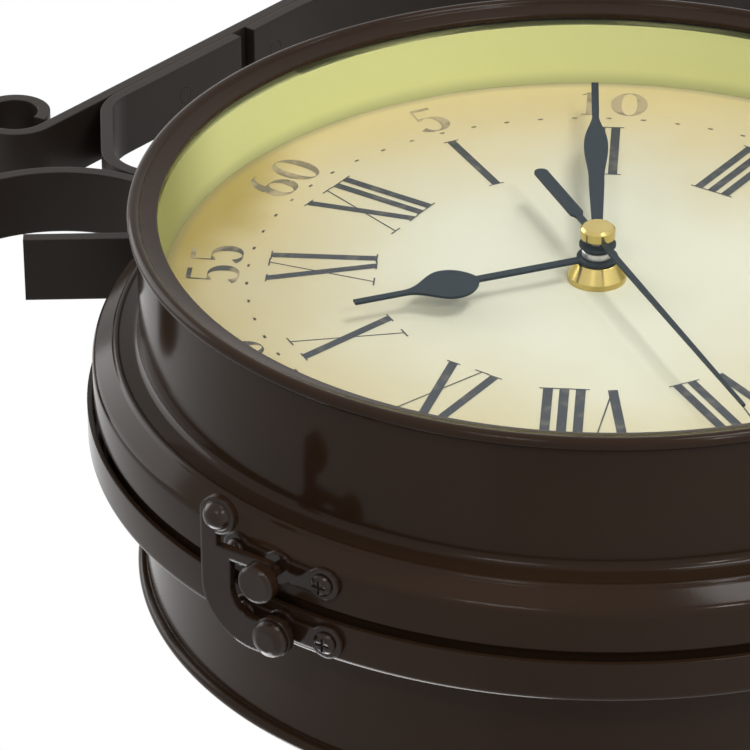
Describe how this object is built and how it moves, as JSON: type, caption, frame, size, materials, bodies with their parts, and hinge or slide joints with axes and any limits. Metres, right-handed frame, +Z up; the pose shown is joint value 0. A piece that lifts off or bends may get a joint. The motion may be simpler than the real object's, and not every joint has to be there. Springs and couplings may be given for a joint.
{
  "type": "double-sided wall clock",
  "caption": "Round double-sided clock on a scrolled wall bracket, with geared hands under glass on both faces and a hinged front half held by a swing hook.",
  "frame": {"origin": "middle of the wall plate's back face", "axes": "+X into the wall, +Z up, -Y out of the front dial"},
  "size_m": [0.3021, 0.0918, 0.334],
  "materials": {
    "case_paint": "satin",
    "glass": "clear",
    "sleeve_paint": "satin",
    "dial_paint": "matt",
    "spring_steel": "satin",
    "movement_plastic": "matt",
    "battery_wrap": "gloss",
    "coil_wire": "satin",
    "brass": "satin",
    "gear_plastic": "satin",
    "hand_paint": "satin",
    "fitting_paint": "gloss",
    "bracket_paint": "satin"
  },
  "bodies": {
    "bracket_and_rear_half": {"wall_plate": "bracket_paint", "bracket_arm": "bracket_paint", "bracket_brace": "bracket_paint", "hanger_leg": "bracket_paint", "hanger_scroll": "bracket_paint", "hanger_screws": "bracket_paint", "bracket_rivets": "bracket_paint", "rear_case": "case_paint", "rear_glass": "glass", "rear_dial_sleeve": "sleeve_paint", "rear_dial": "dial_paint", "rear_dial_retainer": "spring_steel", "rear_movement_tray": "movement_plastic", "rear_movement_cover": "movement_plastic", "rear_battery": "battery_wrap", "rear_battery_contacts": "spring_steel", "rear_drive_coil": "coil_wire", "rear_dial_nut": "brass", "locating_ring": "case_paint", "latch_base_plate": "fitting_paint", "latch_base_screws": "fitting_paint", "latch_pivot_pin": "fitting_paint", "hinge_rear_leaf": "fitting_paint", "hinge_pin": "fitting_paint", "hinge_rear_screws": "fitting_paint"},
    "front_half": {"front_case": "case_paint", "front_glass": "glass", "front_dial_sleeve": "sleeve_paint", "front_dial": "dial_paint", "front_dial_retainer": "spring_steel", "front_movement_tray": "movement_plastic", "front_movement_cover": "movement_plastic", "front_battery": "battery_wrap", "front_battery_contacts": "spring_steel", "front_drive_coil": "coil_wire", "front_dial_nut": "brass", "latch_keeper_plate": "fitting_paint", "latch_post": "fitting_paint", "latch_keeper_screws": "fitting_paint", "hinge_front_leaf": "fitting_paint", "hinge_front_screws": "fitting_paint"},
    "latch_hook": {"latch_hook": "fitting_paint"},
    "front_second_train": {"front_second_arbor": "gear_plastic", "front_second_hand": "hand_paint", "front_hand_cap": "brass"},
    "front_minute_train": {"front_minute_pinion": "gear_plastic", "front_minute_hand": "hand_paint"},
    "front_hour_train": {"front_hour_wheel": "gear_plastic", "front_hour_hand": "hand_paint"},
    "front_setting_train": {"front_setting_wheel": "gear_plastic"},
    "rear_second_train": {"rear_second_arbor": "gear_plastic", "rear_second_hand": "hand_paint", "rear_hand_cap": "brass"},
    "rear_minute_train": {"rear_minute_pinion": "gear_plastic", "rear_minute_hand": "hand_paint"},
    "rear_hour_train": {"rear_hour_wheel": "gear_plastic", "rear_hour_hand": "hand_paint"},
    "rear_setting_train": {"rear_setting_wheel": "gear_plastic"}
  },
  "joints": [
    {"name": "case_hinge", "type": "hinge", "parent": "bracket_and_rear_half", "child": "front_half", "pos_m": [-0.0618, 0, -0.12], "axis": [0, 0, 1], "range_deg": [0, 90]},
    {"name": "latch_pivot", "type": "hinge", "parent": "bracket_and_rear_half", "child": "latch_hook", "pos_m": [-0.2977, 0.0064, -0.1156], "axis": [-1, 0, 0], "range_deg": [0, 95]},
    {"name": "front_second", "type": "hinge", "parent": "front_half", "child": "front_second_train", "pos_m": [-0.18, -0.0215, -0.12], "axis": [0, 1, 0], "continuous": true},
    {"name": "front_minute", "type": "hinge", "parent": "front_half", "child": "front_minute_train", "pos_m": [-0.18, -0.0215, -0.12], "axis": [0, 1, 0], "continuous": true},
    {"name": "front_hour", "type": "hinge", "parent": "front_half", "child": "front_hour_train", "pos_m": [-0.18, -0.0215, -0.12], "axis": [0, 1, 0], "continuous": true},
    {"name": "front_setting", "type": "hinge", "parent": "front_half", "child": "front_setting_train", "pos_m": [-0.18, -0.0215, -0.108], "axis": [0, 1, 0], "continuous": true},
    {"name": "rear_second", "type": "hinge", "parent": "bracket_and_rear_half", "child": "rear_second_train", "pos_m": [-0.18, 0.0215, -0.12], "axis": [0, -1, 0], "continuous": true},
    {"name": "rear_minute", "type": "hinge", "parent": "bracket_and_rear_half", "child": "rear_minute_train", "pos_m": [-0.18, 0.0215, -0.12], "axis": [0, -1, 0], "continuous": true},
    {"name": "rear_hour", "type": "hinge", "parent": "bracket_and_rear_half", "child": "rear_hour_train", "pos_m": [-0.18, 0.0215, -0.12], "axis": [0, -1, 0], "continuous": true},
    {"name": "rear_setting", "type": "hinge", "parent": "bracket_and_rear_half", "child": "rear_setting_train", "pos_m": [-0.18, 0.0215, -0.108], "axis": [0, -1, 0], "continuous": true}
  ],
  "couplings": [
    {"joint": "front_minute", "follows": "front_second", "ratio": 0.016667},
    {"joint": "front_setting", "follows": "front_second", "ratio": -0.0055556},
    {"joint": "front_hour", "follows": "front_second", "ratio": 0.0013889},
    {"joint": "rear_minute", "follows": "rear_second", "ratio": 0.016667},
    {"joint": "rear_setting", "follows": "rear_second", "ratio": -0.0055556},
    {"joint": "rear_hour", "follows": "rear_second", "ratio": 0.0013889}
  ]
}
